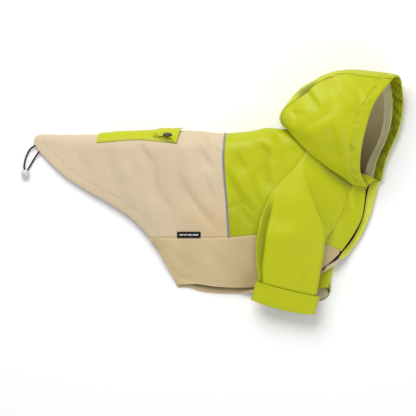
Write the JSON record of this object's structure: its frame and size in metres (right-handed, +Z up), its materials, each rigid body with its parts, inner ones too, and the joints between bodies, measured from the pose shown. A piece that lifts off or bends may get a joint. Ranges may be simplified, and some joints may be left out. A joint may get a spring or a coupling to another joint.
{
  "type": "dog raincoat",
  "caption": "Two-colour dog raincoat with raglan sleeves, turned-up cuffs, a lined hood, a leash flap with a snap tab and a tail drawcord, lying on its side",
  "frame": {"origin": "On the surface that the coat lies on, under the middle of the coat's bounding box without the tail cord and its stopper", "axes": "+X runs from the tail to the head, +Y from the belly to the back, +Z up from the surface the coat lies on"},
  "size_m": [0.4967, 0.3172, 0.0796],
  "materials": {
    "lime": "yellow-green coated plain weave, softly sheened",
    "sand": "sand coated plain weave, matt",
    "tan": "darker sand coated plain weave, matt",
    "mesh": "taupe knitted mesh lining",
    "black": "black woven tape and braided cord",
    "silver": "grey-blue reflective piping, smooth",
    "metal": "dark gunmetal snap cap",
    "white": "pearly white moulded cord stopper"
  },
  "bodies": {
    "root": {"back_panel": "sand", "shoulder_panel": "lime", "side_panel_near": "tan", "side_panel_far": "tan", "chest_panel_near": "lime", "chest_panel_far": "lime", "placket_far": "lime", "placket_far_lower": "sand", "hook_tape": "black", "piping": "silver", "sleeve_near": "lime", "sleeve_far": "lime", "cuff_near": "lime", "cuff_far": "lime", "cuff_far_lining": "mesh", "hood_side_near": "lime", "hood_centre": "lime", "hood_side_far": "lime", "hood_lining": "mesh", "hood_rim_facing": "lime", "throat_band": "lime", "leash_flap": "lime", "snap_tab": "lime", "snap_cap": "metal", "label": "black", "tail_cord_upper": "black", "tail_cord_lower": "black", "cord_stopper": "white"}
  },
  "joints": []
}
